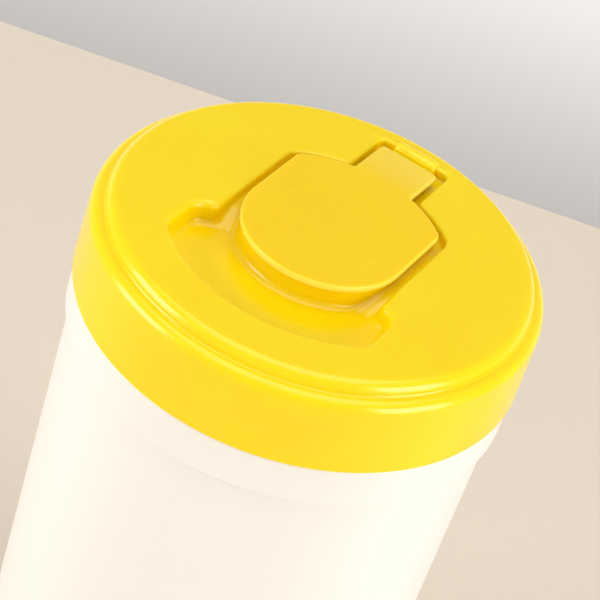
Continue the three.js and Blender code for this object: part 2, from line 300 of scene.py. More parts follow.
def mouldedPolypropylene(name, f, paintedEdgeLight=None):
    # injection-moulded polypropylene: smooth gloss, a little light inside, faint flow lines round the skirt;
    # with an edge colour, also the plug's faint ring and painted light on the edges and the strip
    material, tree, shader, place = startMaterial(name, {
        "IOR": 1.49, "Specular IOR Level": f["shine"], "Subsurface Weight": f["glow"],
        "Subsurface Scale": f["glowReach"] * mm, "Subsurface Radius": (1.0, 0.85, 0.2),
    })
    cloud = addNode(tree, "ShaderNodeTexNoise", {"Scale": perMetre(f["cloudSize"]), "Detail": 3},
                    {"Vector": place})
    tint = addNode(tree, "ShaderNodeValToRGB", links={"Fac": cloud.outputs["Fac"]})
    tint.color_ramp.elements[0].position = 0.35
    tint.color_ramp.elements[0].color = sRgb(f["deepColour"])
    tint.color_ramp.elements[1].position = 0.65
    tint.color_ramp.elements[1].color = sRgb(f["colour"])
    colourOut = tint.outputs["Color"]
    if paintedEdgeLight:
        middle = addNode(tree, "ShaderNodeVectorMath", {1: (0, f["markCentre"] * mm, f["markLevel"] * mm)},
                         {0: place}, operation="DISTANCE").outputs["Value"]
        crest = f["markRadius"]
        inside, outside = crest - f["markInside"], crest + f["markOutside"]
        rise = addNode(tree, "ShaderNodeMapRange", {"From Min": inside * mm, "From Max": crest * mm},
                       {"Value": middle}, interpolation_type="SMOOTHSTEP")
        fall = addNode(tree, "ShaderNodeMapRange", {"From Min": crest * mm, "From Max": outside * mm},
                       {"Value": middle}, interpolation_type="SMOOTHSTEP")
        mark = addNode(tree, "ShaderNodeMath", links={0: rise.outputs[0], 1: fall.outputs[0]},
                       operation="SUBTRACT")
        # painted rim light: the flap's sideways-facing surfaces get the lighter edge colour, for light through
        # the thin plastic's edges
        rim = addNode(tree, "ShaderNodeAttribute", attribute_name="paintedRimLight")
        along = addNode(tree, "ShaderNodeSeparateXYZ", links={"Vector": place}).outputs["Y"]
        # painted light: the strip's colour grows paler along Y towards its end
        paleSpan = {"From Min": f["paleFrom"] * mm, "From Max": f["paleTo"] * mm, "To Max": f["paleShare"]}
        strip = addNode(tree, "ShaderNodeMapRange", paleSpan, {"Value": along}, interpolation_type="SMOOTHSTEP")
        pale = addNode(tree, "ShaderNodeMixRGB", {"Color2": sRgb(f["stripLightColour"])},
                       {"Fac": strip.outputs[0], "Color1": colourOut})
        mix = addNode(tree, "ShaderNodeMixRGB", {"Color2": sRgb(paintedEdgeLight)},
                      {"Fac": rim.outputs["Fac"], "Color1": pale.outputs["Color"]})
        colourOut = mix.outputs["Color"]
    tree.links.new(colourOut, shader.inputs["Base Color"])
    peel = addNode(tree, "ShaderNodeTexNoise", {"Scale": perMetre(f["peelSize"]), "Detail": 2},
                   {"Vector": place})
    level = f["flowStretch"]     # flow lines run level, so the pattern is drawn out in X and Y
    stretched = addNode(tree, "ShaderNodeMapping", {"Scale": (level, level, 1)}, {"Vector": place})
    flow = addNode(tree, "ShaderNodeTexNoise", {"Scale": perMetre(f["flowSize"]), "Detail": 2},
                   {"Vector": stretched.outputs[0]})
    roughSpan = {"To Min": f["roughness"] - f["roughLess"], "To Max": f["roughness"] + f["roughMore"]}
    rough = addNode(tree, "ShaderNodeMapRange", roughSpan, {"Value": cloud.outputs["Fac"]})
    tree.links.new(rough.outputs[0], shader.inputs["Roughness"])
    peelBump = addNode(tree, "ShaderNodeBump", {"Distance": f["peelHeight"] * mm, "Strength": 1},
                       {"Height": peel.outputs["Fac"]})
    flowBump = addNode(tree, "ShaderNodeBump", {"Distance": f["flowHeight"] * mm, "Strength": 1},
                       {"Height": flow.outputs["Fac"], "Normal": peelBump.outputs[0]})
    last = flowBump
    if paintedEdgeLight:
        last = addNode(tree, "ShaderNodeBump", {"Distance": f["markHeight"] * mm, "Strength": 1},
                       {"Height": mark.outputs[0], "Normal": flowBump.outputs[0]})
    tree.links.new(last.outputs[0], shader.inputs["Normal"])
    return material


bodyFinish = {
    "colour": "#F2EDE5", "roughness": 0.3, "roughLess": 0.04, "roughMore": 0.06, "cloudSize": 30,
    "glow": 0.1, "glowReach": 3.0, "skinSize": 1.1, "skinHeight": 0.012,
}


def blownPolyethylene(name, f):
    # blow-moulded polyethylene: satin white with a faint skin texture
    material, tree, shader, place = startMaterial(name, {
        "IOR": 1.5, "Subsurface Weight": f["glow"], "Subsurface Scale": f["glowReach"] * mm,
        "Subsurface Radius": (1.0, 0.9, 0.75), "Base Color": sRgb(f["colour"]),
    })
    cloud = addNode(tree, "ShaderNodeTexNoise", {"Scale": perMetre(f["cloudSize"]), "Detail": 2},
                    {"Vector": place})
    roughSpan = {"To Min": f["roughness"] - f["roughLess"], "To Max": f["roughness"] + f["roughMore"]}
    rough = addNode(tree, "ShaderNodeMapRange", roughSpan, {"Value": cloud.outputs["Fac"]})
    tree.links.new(rough.outputs[0], shader.inputs["Roughness"])
    skin = addNode(tree, "ShaderNodeTexNoise", {"Scale": perMetre(f["skinSize"]), "Detail": 3},
                   {"Vector": place})
    bump = addNode(tree, "ShaderNodeBump", {"Distance": f["skinHeight"] * mm, "Strength": 1},
                   {"Height": skin.outputs["Fac"]})
    tree.links.new(bump.outputs[0], shader.inputs["Normal"])
    return material


wipeFinish = {
    "colour": "#F1F4F5", "roughness": 0.75, "sheen": 0.15,
    "fibreSize": 0.35, "fibreHeight": 0.12, "dimpleSize": 2.2, "dimpleHeight": 0.15,
}


def moistNonwoven(name, f):
    # spunlace nonwoven, moist: matt and soft, with fibres and small embossed dimples
    material, tree, shader, place = startMaterial(name, {
        "Roughness": f["roughness"], "Sheen Weight": f["sheen"], "Base Color": sRgb(f["colour"]),
    })
    fibre = addNode(tree, "ShaderNodeTexNoise", {"Scale": perMetre(f["fibreSize"]), "Detail": 5},
                    {"Vector": place})
    dimple = addNode(tree, "ShaderNodeTexVoronoi", {"Scale": perMetre(f["dimpleSize"])}, {"Vector": place})
    fibreBump = addNode(tree, "ShaderNodeBump", {"Distance": f["fibreHeight"] * mm, "Strength": 0.7},
                        {"Height": fibre.outputs["Fac"]})
    bump = addNode(tree, "ShaderNodeBump", {"Distance": f["dimpleHeight"] * mm, "Strength": 0.6},
                   {"Height": dimple.outputs["Distance"], "Normal": fibreBump.outputs[0]})
    tree.links.new(bump.outputs[0], shader.inputs["Normal"])
    return material


lidPlastic = mouldedPolypropylene("yellowPolypropyleneMoulded", lidFinish)
# painted shade and light: the flap's copy of the lid plastic is a shade darker, for the dark cup under the thin
# flap, and takes painted light on its edges and strip
flapPlastic = mouldedPolypropylene(
    "yellowPolypropyleneFlapPaintedLight", lidFinish | {"colour": "#F7D000", "deepColour": "#F5CD00"}, "#FFE45A"
)
bodyPlastic = blownPolyethylene("whitePolyethyleneBlown", bodyFinish)
wipeCloth = moistNonwoven("moistNonwoven", wipeFinish)
print("materials made")


# Canister body
body = {
    "radius": 50.0, "wall": 1.2, "corner": 4.0, "height": 177.7, "standWidth": 4.0,
    "pushUpHeight": 3.5, "pushUpSlope": 8.0, "bandStep": 1.45, "bandHeight": 10.2,
    "neckRadius": 49.2, "neckTop": 194.3,
    "beadHeight": 0.75, "beadLevel": 185.7, "beadHalf": 1.0, "beadFlat": 0.25,
    "pushUpRound": 4.0, "standRound": 2.0, "bandSlope": 0.75, "bandRound": 0.5, "shoulderRound": 0.6,
    "neckRound": 0.3, "lipRound": 0.55,
    "innerNeckRound": 0.8, "innerBandRound": 0.6, "innerStandRound": 1.5, "innerPushUpRound": 3.0,
}


def makeBody(b):
    r, w, band = b["radius"], b["wall"], b["radius"] + b["bandStep"]
    standOuter, bandFoot = r - b["corner"], b["height"] - b["bandHeight"]
    standInner = standOuter - b["standWidth"]
    dome = standInner - b["pushUpSlope"]
    neck, bead, small = b["neckRadius"], b["beadLevel"], b["neckRound"]
    crest = neck + b["beadHeight"]
    outside = [
        (0, b["pushUpHeight"]), (dome, b["pushUpHeight"], b["pushUpRound"]), (standInner, 0, b["standRound"]),
        (r, 0, b["corner"]), (r, bandFoot - b["bandSlope"], b["bandRound"]), (band, bandFoot, b["bandRound"]),
        (band, b["height"], b["shoulderRound"]), (neck, b["height"], small),
        (neck, bead - b["beadHalf"], small), (crest, bead - b["beadFlat"], small),
        (crest, bead + b["beadFlat"], small), (neck, bead + b["beadHalf"], small),
        (neck, b["neckTop"], b["lipRound"]),
    ]
    inside = [
        (neck - w, b["neckTop"], b["lipRound"]), (neck - w, b["height"] - w, b["innerNeckRound"]),
        (band - w, b["height"] - 2 * w, b["innerNeckRound"]), (band - w, bandFoot + w / 2, b["innerBandRound"]),
        (r - w, bandFoot - w, b["innerBandRound"]), (r - w, w, b["corner"] - w),
        (standInner + w / 2, w, b["innerStandRound"]),
        (dome + w / 2, b["pushUpHeight"] + w, b["innerPushUpRound"]), (0, b["pushUpHeight"] + w),
    ]
    bm = bmesh.new()
    spinPath(bm, roundPath(outside + inside), steps=192)
    return finishPiece(bm, "canisterBody", "canister", bodyPlastic, ["canister_body"])


makeBody(body)
print("canister body made")


# Lid
lid = {
    "wall": 1.5, "deck": 21.65, "ledge": 18.65, "deckRadius": 48.4, "deckRound": 2.3,
    "skirtRadius": 52.0, "skirtDraft": 0.55, "skirtWall": 1.4, "shoulderRound": 2.3, "ledgeFillet": 0.65,
    "sealRadius": 47.6, "sealWall": 1.0, "sealBottom": 12.15, "edgeRound": 0.35,
    "roofRound": 0.6, "sealFillet": 0.5, "sealRoofRound": 0.8,
    "beadRadius": 50.25, "beadLevel": 4.9, "beadHalf": 1.0, "beadFlat": 0.3, "beadRound": 0.2,
    "flatRadius": 45.3,        # circle in the flat of the deck from which the fill starts
    "rimRound": 0.8, "earRim": 1.7, "pocketDepth": 2.6, "pocketFoot": 0.8, "wellDepth": 5.35, "wellFoot": 1.7,
    "rampBack": -4.5, "rampFront": -12.0,   # the floor drops from the pocket to the well between these Y
    "earRise": (-36, -23), "earFall": (-9, -3),     # the rim grows to its size at the ears, and back
    "bossTop": 21.05, "bossRim": 0.45, "bossFoot": 0.9, "bossFrontFoot": 2.0,
    "bossFootBack": -6, "bossFootFront": -15,     # the foot's round grows between these Y
    "cupRadius": 14.7, "cupCentre": 3.5, "cupFloor": 14.05, "cupRim": 0.6, "cupFoot": 1.2,
    "cupWall": 1.3, "cupOuterRound": 1.5,
    "funnel": 0.5, "funnelRadius": 8.2, "holeRadius": 3.2, "slits": 6, "slitReach": 7.5, "slitWidth": 0.9,
    "underNotch": 1.0, "underFoot": 1.0, "underRim": 0.6, "chamfer": 0.3,     # the lid's inner side
    "floorRows": 9, "deckBorder": 0.22, "underBorder": 0.2, "bossBorder": 0.25,     # flats beside the rounds
}
flap = {
    "halfWidth": 19.1, "frontCentre": -0.55, "backRadius": 27.0, "backCentre": -0.76, "corner": 2.6,
    "top": 22.85, "thickness": 1.5, "stripHalf": 7.5, "stripEnd": 38.95, "stripEndRound": 0.95,
    "notchRound": 0.7, "edgeRound": 0.45, "underRound": 0.25,
    "foldRound": 0.74, "foldFrom": 37.6, "foldTo": 38.9,
    "border": 0.3, "borderLess": 0.22,     # flat beside the edge's round, and how much of it the fold takes
    "stripDropTop": 0.6, "stripDropUnder": 0.8, "foldLine": 38.1,
    "cutsFrom": 26.2, "cutsTo": 38.2, "cutStep": 1.5, "rimLightGain": 1.2,
    "plugRadius": 14.2, "plugWall": 1.1, "plugDepth": 3.0, "pocketGap": 2.0, "bossInset": 0.8,
}
well = {
    "frontCentre": -2.36, "frontRadius": 34.0, "half": 25.5,
    "earRadius": 5.0, "earBack": -16.8, "earFillet": 2.5,
}
stripPocket = {"half": 9.2, "back": 42.2, "corner": 1.5, "notchRound": 1.25}


def plateCorner():
    # middle of the plate's rounded back corner and the angle where it meets the back arc
    inner = flap["halfWidth"] - flap["corner"]
    rise = math.sqrt((flap["backRadius"] - flap["corner"]) ** 2 - inner ** 2)
    return inner, flap["backCentre"] + rise, math.degrees(math.atan2(rise, inner))


def notchArc(stripHalf, backRadius, round_):
    # small arc that joins the back arc to the strip's side
    x = stripHalf + round_
    rise = math.sqrt((backRadius + round_) ** 2 - x ** 2)
    turn = math.degrees(math.atan2(rise, x))
    return turn, ("arc", x, flap["backCentre"] + rise, round_, 180 + turn, 180, 7)


def wellParts(grow):
    # front arc, ear and the fillet into the pocket's side, in as many steps as the plate's front
    side = flap["halfWidth"] + flap["pocketGap"] + grow
    ear, fillet = well["earRadius"] + grow, well["earFillet"] - grow
    front = well["frontRadius"] + grow
    earX = well["half"] + grow - ear
    drop = math.sqrt((front - ear) ** 2 - earX ** 2)
    turn = math.degrees(math.atan2(drop, earX))
    swing = math.acos((side + fillet - earX) / (fillet + ear))
    filletY = well["earBack"] + (fillet + ear) * math.sin(swing)
    return [
        ("arc", 0, well["frontCentre"], front, -90, -turn, 30),
        ("arc", earX, well["frontCentre"] - drop, ear, -turn, 0, 8),
        ("line", 5),
        ("arc", earX, well["earBack"], ear, 0, math.degrees(swing), 10),
        ("arc", side + fillet, filletY, fillet, 180 + math.degrees(swing), 180, 8),
    ]


def plateParts(grow, backTo, frontParts=None, sideSteps=20):
    # plate outline from the front to an angle on the back arc
    cornerX, cornerY, turn = plateCorner()
    front = frontParts or [("arc", 0, flap["frontCentre"], flap["halfWidth"] + grow, -90, 0, 61)]
    return front + [
        ("line", sideSteps),
        ("arc", cornerX, cornerY, flap["corner"] + grow, 0, turn, 10),
        ("arc", 0, flap["backCentre"], flap["backRadius"] + grow, turn, backTo, 12),
    ]


def pocketOutline(grow, notchRound):
    # whole rim of the recess: well, pocket and strip pocket. Also how many points lie before the strip.
    half = stripPocket["half"] + grow
    gap = flap["pocketGap"] + grow
    turn, notch = notchArc(half, flap["backRadius"] + gap, notchRound)
    back, corner = stripPocket["back"] + grow, stripPocket["corner"] + grow
    parts = plateParts(gap, turn, wellParts(grow))
    before = len(halfOutline(parts)[0])
    parts += [
        notch, ("line", 10), ("arc", half - corner, back - corner, corner, 0, 90, 6), ("line", 5),
        ("arc", 0, back - 1, 1, 90, 90.001, 1),
    ]
    return mirrorOutline(halfOutline(parts)), before, turn


def mouthPoints(radius, turn, steps=16):
    # points across the strip pocket's mouth, from right to left
    angles = np.radians(np.linspace(turn, 180 - turn, steps + 1)[1:-1])
    return np.column_stack([radius * np.cos(angles), flap["backCentre"] + radius * np.sin(angles)])


def bossOutline(turn):
    # the boss under the flap, with as many points as the pocket's ring with its mouth closed
    inset = -flap["bossInset"]
    radius = flap["halfWidth"] + inset
    # from, to and steps, spread so that the floor's rows run straight to the well and its ear
    spread = [(-90, -60, 30), (-60, -48, 13), (-48, -28, 18), (-28, 0, 6)]
    front = [("arc", 0, flap["frontCentre"], radius, *span) for span in spread]
    parts = plateParts(inset, turn, front, 14)
    parts += [("arc", 0, flap["backCentre"], flap["backRadius"] + inset, turn, 90, 8)]
    return mirrorOutline(halfOutline(parts))


def depthAt(y):
    # how deep the recess's floor lies
    ramp = smoothStep(lid["rampBack"], lid["rampFront"], np.asarray(y, float))
    return lid["pocketDepth"] + (lid["wellDepth"] - lid["pocketDepth"]) * ramp


def footAt(y):
    # the round at the foot of the recess's wall
    ramp = smoothStep(lid["rampBack"], lid["rampFront"], np.asarray(y, float))
    return lid["pocketFoot"] + (lid["wellFoot"] - lid["pocketFoot"]) * ramp


def rimAt(y):
    # the rim is rounder round the well's ears
    y = np.asarray(y, float)
    ears = smoothStep(*lid["earRise"], y) * (1 - smoothStep(*lid["earFall"], y))
    return lid["rimRound"] + (lid["earRim"] - lid["rimRound"]) * ears


def ringOf(loop, before, mouth):
    # the loop without its strip part, closed across the mouth
    after = len(loop) - before + 1
    return loop[:before] + mouth + loop[after:], loop[before - 1:after + 1]


def closeMouth(bm, loop, before, turn, radius, level):
    # fill the strip pocket's floor and give back the ring that goes on without it
    mouth = [bm.verts.new(Vector((x, y, level)) * mm) for x, y in mouthPoints(radius, turn)]
    ring, strip = ringOf(loop, before, mouth)
    fillFlat(bm, strip + mouth[::-1])
    return ring


def blendRows(first, last, count):
    # even rows between two rows, without either
    return [first + (last - first) * k / count for k in range(1, count)]


def circleRow(angles, radius, level, centreY):
    return np.column_stack([
        radius * np.cos(angles), centreY + radius * np.sin(angles), np.full(len(angles), level),
    ])


def starRow(angles, level):
    # round hole with straight slits
    pitch = 2 * math.pi / lid["slits"]
    away = np.abs((angles + pitch / 2) % pitch - pitch / 2)
    slit = lid["slitWidth"] / 2 / np.maximum(np.sin(away), 1e-3)
    radius = np.clip(slit, lid["holeRadius"], lid["slitReach"])
    return np.column_stack([
        radius * np.cos(angles), lid["cupCentre"] + radius * np.sin(angles), np.full(len(angles), level),
    ])


def liftRow(row, levels):
    # the same row at other levels
    return np.column_stack([row[:, :2], levels])


def lidTopRows():
    # recess walls from the deck to the foot
    outline, before, turn = pocketOutline(0, stripPocket["notchRound"])
    y = outline[0][:, 1]
    deck, rim, foot, depth = lid["deck"], rimAt(y), footAt(y), depthAt(y)
    rows = [offsetRow(outline, rim + lid["deckBorder"], deck)]
    rows += [offsetRow(outline, rim * (1 - math.sin(a)), deck - rim * (1 - math.cos(a))) for a in arcSteps(7)]
    rows += [offsetRow(outline, -foot * (1 - math.cos(a)), deck - depth + foot * (1 - math.sin(a)))
             for a in arcSteps(7)]
    return rows, before, turn


def lidUnderRows():
    # the same recess from below, a wall's thickness away
    outline, before, turn = pocketOutline(lid["wall"], lid["underNotch"])
    depth = depthAt(outline[0][:, 1]) + lid["wall"]
    under, foot, rim = lid["deck"] - lid["wall"], lid["underFoot"], lid["underRim"]
    rows = [offsetRow(outline, rim + lid["underBorder"], under)]
    rows += [offsetRow(outline, rim * (1 - math.sin(a)), under - rim * (1 - math.cos(a))) for a in arcSteps(3)]
    rows += [offsetRow(outline, -foot * (1 - math.cos(a)), lid["deck"] - depth + foot * (1 - math.sin(a)))
             for a in arcSteps(4)]
    return rows, before, turn


def lidSidePath():
    # from the deck over the ledge and the skirt, then up inside past the bead and round the seal ring
    deck, roof, edge, small = lid["deck"], lid["ledge"] - lid["wall"], lid["edgeRound"], lid["beadRound"]
    shoulder, inside = lid["skirtRadius"] - lid["skirtDraft"], lid["skirtRadius"] - lid["skirtWall"]
    seal, sealInside, sealBottom = lid["sealRadius"], lid["sealRadius"] - lid["sealWall"], lid["sealBottom"]
    bead, level, half, flat = lid["beadRadius"], lid["beadLevel"], lid["beadHalf"], lid["beadFlat"]
    return roundPath([
        (lid["flatRadius"], deck), (lid["deckRadius"], deck, lid["deckRound"]),
        (lid["deckRadius"], lid["ledge"], lid["ledgeFillet"]), (shoulder, lid["ledge"], lid["shoulderRound"]),
        (lid["skirtRadius"], 0, edge), (inside, 0, edge), (inside, level - half, small),
        (bead, level - flat, small), (bead, level + flat, small), (inside, level + half, small),
        (inside, roof, lid["roofRound"]),
        (seal, roof, lid["sealFillet"]), (seal, sealBottom, edge), (sealInside, sealBottom, edge),
        (sealInside, deck - lid["wall"], lid["sealRoofRound"]), (lid["flatRadius"], deck - lid["wall"]),
    ], stepAngle=8)


def bossRows(boss, first):
    # from the recess's ring over its floor and up the boss to the flat round the cup
    y, deck, rim, top = boss[0][:, 1], lid["deck"], lid["bossRim"], lid["bossTop"]
    level = deck - depthAt(y)
    front = smoothStep(lid["bossFootBack"], lid["bossFootFront"], y)
    foot = lid["bossFoot"] + (lid["bossFrontFoot"] - lid["bossFoot"]) * front
    last = offsetRow(boss, foot, level)
    rows = [liftRow(row, deck - depthAt(row[:, 1])) for row in blendRows(first, last, lid["floorRows"])]
    rows += [offsetRow(boss, foot * (1 - math.sin(a)), level + foot * (1 - math.cos(a))) for a in arcSteps(7)]
    rows += [offsetRow(boss, -rim * (1 - math.cos(a)), top - rim * (1 - math.sin(a))) for a in arcSteps(5)]
    return rows + [offsetRow(boss, -rim - lid["bossBorder"], top)]


def cupRows(boss):
    # down into the cup, through its slit opening and back up outside it, to the boss's inner side
    centre, top, chamfer = lid["cupCentre"], lid["bossTop"], lid["chamfer"]
    angles = np.unwrap(np.arctan2(boss[0][:, 1] - centre, boss[0][:, 0]))
    cup, rim, foot, floor = lid["cupRadius"], lid["cupRim"], lid["cupFoot"], lid["cupFloor"]
    mouth, under = floor - lid["funnel"], floor - lid["funnel"] - lid["cupWall"]
    outside, turn = cup + lid["cupWall"], lid["cupOuterRound"]
    spots = [(cup + rim + lid["bossBorder"], top)]
    spots += [(cup + rim * (1 - math.sin(a)), top - rim * (1 - math.cos(a))) for a in arcSteps(5)]
    spots += [(cup - foot * (1 - math.cos(a)), floor + foot * (1 - math.sin(a))) for a in arcSteps(5)]
    spots += [(lid["funnelRadius"], mouth)]
    back = [(lid["funnelRadius"], under)]
    back += [(outside - turn * (1 - math.sin(a)), under + turn * (1 - math.cos(a))) for a in arcSteps(4)]
    back += [(outside, top - lid["wall"] - chamfer), (outside + chamfer, top - lid["wall"])]
    rows = [circleRow(angles, *spot, centre) for spot in spots]
    rows += [starRow(angles, mouth), starRow(angles, under)]
    return rows + [circleRow(angles, *spot, centre) for spot in back]


def bossUnderRows(boss):
    # the boss's inner side, from the cup down to the underside of the floor
    wall, chamfer = lid["wall"], lid["chamfer"]
    top, floor = lid["bossTop"] - wall, lid["deck"] - depthAt(boss[0][:, 1]) - wall
    side = offsetRow(boss, -wall, top)
    return [
        offsetRow(boss, -wall - chamfer, top), liftRow(side, np.full(len(side), top - chamfer)),
        liftRow(side, floor + chamfer), offsetRow(boss, chamfer - wall, floor),
    ]


def fillDeck(bm, edges, loop):
    # triangles between the round edge of the deck and the recess
    bmesh.ops.triangle_fill(bm, use_beauty=True, edges=edges + loopEdges(bm, loop), normal=(0, 0, 1))


def makeLidMesh(bm):
    deck, wall = lid["deck"], lid["wall"]
    floor, backRadius = deck - lid["pocketDepth"], flap["backRadius"] + flap["pocketGap"]
    spinPath(bm, lidSidePath(), steps=192)
    edge = [e for e in bm.edges if e.is_boundary]
    upperEdge = [e for e in edge if e.verts[0].co.z > (deck - wall / 2) * mm]
    lowerEdge = [e for e in edge if e.verts[0].co.z <= (deck - wall / 2) * mm]
    rows, before, turn = lidTopRows()
    outer = startLoop(bm, rows[0])
    fillDeck(bm, upperEdge, outer)
    foot = growLoops(bm, outer, rows[1:])
    ring = closeMouth(bm, foot, before, turn, backRadius - lid["pocketFoot"], floor)
    boss = bossOutline(turn)
    first = np.array([v.co / mm for v in ring])
    underBoss = growLoops(bm, ring, bossRows(boss, first) + cupRows(boss) + bossUnderRows(boss))
    rows, before, turn = lidUnderRows()
    outer = startLoop(bm, rows[0])
    fillDeck(bm, lowerEdge, outer)
    foot = growLoops(bm, outer, rows[1:])
    ring = closeMouth(bm, foot, before, turn, backRadius + wall - lid["underFoot"], floor - wall)
    growLoops(bm, ring, [[vert.co / mm for vert in underBoss]])


def unite(target, tool):
    # join two closed shells into one with a boolean
    modifier = target.modifiers.new("unite", "BOOLEAN")
    modifier.operation = "UNION"
    modifier.solver = "EXACT"
    modifier.object = tool
    united = bpy.data.meshes.new_from_object(target.evaluated_get(bpy.context.evaluated_depsgraph_get()))
    target.modifiers.clear()
    target.data = united
    bpy.data.objects.remove(tool)


hingeBar = {
    "front": 41.0, "width": 3.75, "half": 5.55, "proud": 0.8, "endRound": 0.7,
    "sunk": 0.7, "coreDrop": 1.0,     # how far it goes into the floor, and the middle that its ends shrink to
}


def makeHingeBar(h):
    # rounded bar that the strip folds against, extruded across and rounded at its ends
    radius = h["width"] / 2
    y, z = h["front"] + radius, lid["deck"] + h["proud"] - radius
    bottom = lid["deck"] - lid["pocketDepth"] - h["sunk"]
    side = [(y + radius * math.cos(a), z + radius * math.sin(a)) for a in np.linspace(0, math.pi, 25)]
    bm = bmesh.new()
    section = np.array([(h["front"] + h["width"], bottom)] + side + [(h["front"], bottom)])
    middle = np.array([y, z - h["coreDrop"]])
    rows = []
    for a in arcSteps(4):
        share = 1 - h["endRound"] * (1 - math.sin(a)) / radius
        x = -h["half"] + h["endRound"] * (1 - math.cos(a))
        rows.append((x, middle + (section - middle) * share))
    rows += [(-x, spots) for x, spots in rows[::-1]]
    verts = startLoop(bm, [(rows[0][0], *p) for p in rows[0][1]])
    bmesh.ops.contextual_create(bm, geom=verts)
    last = growLoops(bm, verts, [[(x, *p) for p in spots] for x, spots in rows[1:]])
    bmesh.ops.contextual_create(bm, geom=last)
    bmesh.ops.recalc_face_normals(bm, faces=bm.faces)
    mesh = bpy.data.meshes.new("bar")
    bm.to_mesh(mesh)
    bm.free()
    bar = bpy.data.objects.new("bar", mesh)
    bpy.context.collection.objects.link(bar)
    return bar


def liftMesh(obj, height):
    obj.data.transform(Matrix.Translation((0, 0, height * mm)))


def makeLid():
    bm = bmesh.new()
    makeLidMesh(bm)
    piece = finishPiece(bm, "lidShell", "lid", lidPlastic, ["lid"])
    unite(piece, makeHingeBar(hingeBar))
    piece.data.shade_smooth()
    piece.data.set_sharp_from_angle(angle=math.radians(50))
    liftMesh(piece, skirtBottom)
    return piece


makeLid()
print("lid made")


# Flap

def flapOutline():
    turn, notch = notchArc(flap["stripHalf"], flap["backRadius"], flap["notchRound"])
    end, corner = flap["stripEnd"], flap["stripEndRound"]
    parts = plateParts(0, turn) + [
        notch, ("line", 12), ("arc", flap["stripHalf"] - corner, end - corner, corner, 0, 90, 5), ("line", 6),
        ("arc", 0, end - 1, 1, 90, 90.001, 1),
    ]
    return mirrorOutline(halfOutline(parts))


def bendStrip(bm):
    # the strip falls towards the fold, its underside a little more than its top
    notchY = flap["backCentre"] + flap["backRadius"]
    middle = flap["top"] - flap["thickness"] / 2
    for vert in bm.verts:
        share = float(np.clip((vert.co.y / mm - notchY) / (flap["foldLine"] - notchY), 0, 1))
        high = vert.co.z / mm > middle
        vert.co.z -= share * (flap["stripDropTop"] if high else flap["stripDropUnder"]) * mm


def makeFlap():
    bm = bmesh.new()
    outline = flapOutline()
    y = outline[0][:, 1]
    top, bottom = flap["top"], flap["top"] - flap["thickness"]
    foldShare = smoothStep(flap["foldFrom"], flap["foldTo"], y)
    edge = flap["edgeRound"] + (flap["foldRound"] - flap["edgeRound"]) * foldShare
    low = flap["underRound"] + (flap["foldRound"] - flap["underRound"]) * foldShare
    border = flap["border"] - flap["borderLess"] * foldShare
    rows = [offsetRow(outline, -low - border, bottom)]
    rows += [offsetRow(outline, -low * (1 - math.sin(a)), bottom + low * (1 - math.cos(a)))
             for a in arcSteps(4)]
    rows += [offsetRow(outline, -edge * (1 - math.cos(a)), top - edge * (1 - math.sin(a)))
             for a in arcSteps(6)]
    rows += [offsetRow(outline, -edge - border, top)]
    under = startLoop(bm, rows[0])
    upper = growLoops(bm, under, rows[1:])
    fillFlat(bm, upper)
    angles = np.linspace(0, 2 * math.pi, 129)[:-1]
    outer, wall, tip = flap["plugRadius"], flap["plugWall"], bottom - flap["plugDepth"]
    centre = lid["cupCentre"]
    ringRows = [(outer + 0.5, bottom), (outer + 0.3, bottom), (outer, bottom - 0.3), (outer, tip + 0.6),
                (outer - 0.15, tip + 0.25), (outer - 0.45, tip), (outer - wall + 0.2, tip),
                (outer - wall, tip + 0.2), (outer - wall, bottom - 0.3), (outer - wall - 0.3, bottom),
                (outer - wall - 0.5, bottom)]
    plug = startLoop(bm, circleRow(angles, *ringRows[0], centre))
    fillFlat(bm, under, plug)
    inner = growLoops(bm, plug, [circleRow(angles, r, z, centre) for r, z in ringRows[1:]])
    fillFlat(bm, inner)
    for cut in np.arange(flap["cutsFrom"], flap["cutsTo"], flap["cutStep"]):     # rows for the strip's bend
        bmesh.ops.bisect_plane(
            bm, geom=bm.verts[:] + bm.edges[:] + bm.faces[:], plane_co=(0, cut * mm, 0), plane_no=(0, 1, 0),
        )
    bendStrip(bm)
    piece = finishPiece(bm, "flapPlate", "flap", flapPlastic, ["flap"])
    # painted rim light: the more a vertex's normal faces sideways, the more of the lighter edge colour it takes
    glow = piece.data.attributes.new("paintedRimLight", "FLOAT", "POINT")
    for vert in piece.data.vertices:
        glow.data[vert.index].value = min(1, flap["rimLightGain"] * (1 - abs(vert.normal.z)))
    liftMesh(piece, skirtBottom)
    return piece


makeFlap()
print("flap made")


# Living hinge, the thin web, in one sagging shape
web = {
    "half": 5.4, "thickness": 0.45, "front": 38.2, "back": 41.7, "level": 21.0, "sag": 0.35, "frontLift": 0.2,
}


def makeWeb(w):
    bm = bmesh.new()
    bmesh.ops.create_grid(bm, x_segments=10, y_segments=16, size=0.5)
    for vert in bm.verts:
        x, t = vert.co.x * 2 * w["half"], vert.co.y + 0.5
        y = w["front"] + (w["back"] - w["front"]) * t
        z = w["level"] - w["sag"] * math.sin(math.pi * t) + w["frontLift"] * (1 - t)
        vert.co = Vector((x, y, z + skirtBottom)) * mm
    bmesh.ops.recalc_face_normals(bm, faces=bm.faces)
    bmesh.ops.solidify(bm, geom=bm.faces[:], thickness=w["thickness"] * mm)
    piece = finishPiece(bm, "hingeWeb", None, lidPlastic)
    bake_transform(piece)
    return piece


makeWeb(web)
print("hinge web made")


# Wipes roll
roll = {
    "radius": 45.5, "hole": 14.0, "bottom": 5.0, "top": 165.0, "turns": 34, "ridge": 0.45, "gap": 0.04,
    "crestFrom": 0.3, "crestTo": 0.7,     # the flat of a turn's ridge, in shares of its thickness
    "crestDrop": 0.1, "wobble": 0.25, "holeDrop": 0.6, "endRows": 2.0, "sideRows": 40,
    "topBand": 1.5, "topDent": 0.16, "topDentScale": 90, "sideDent": 0.3, "sideDentScale": 60,
}


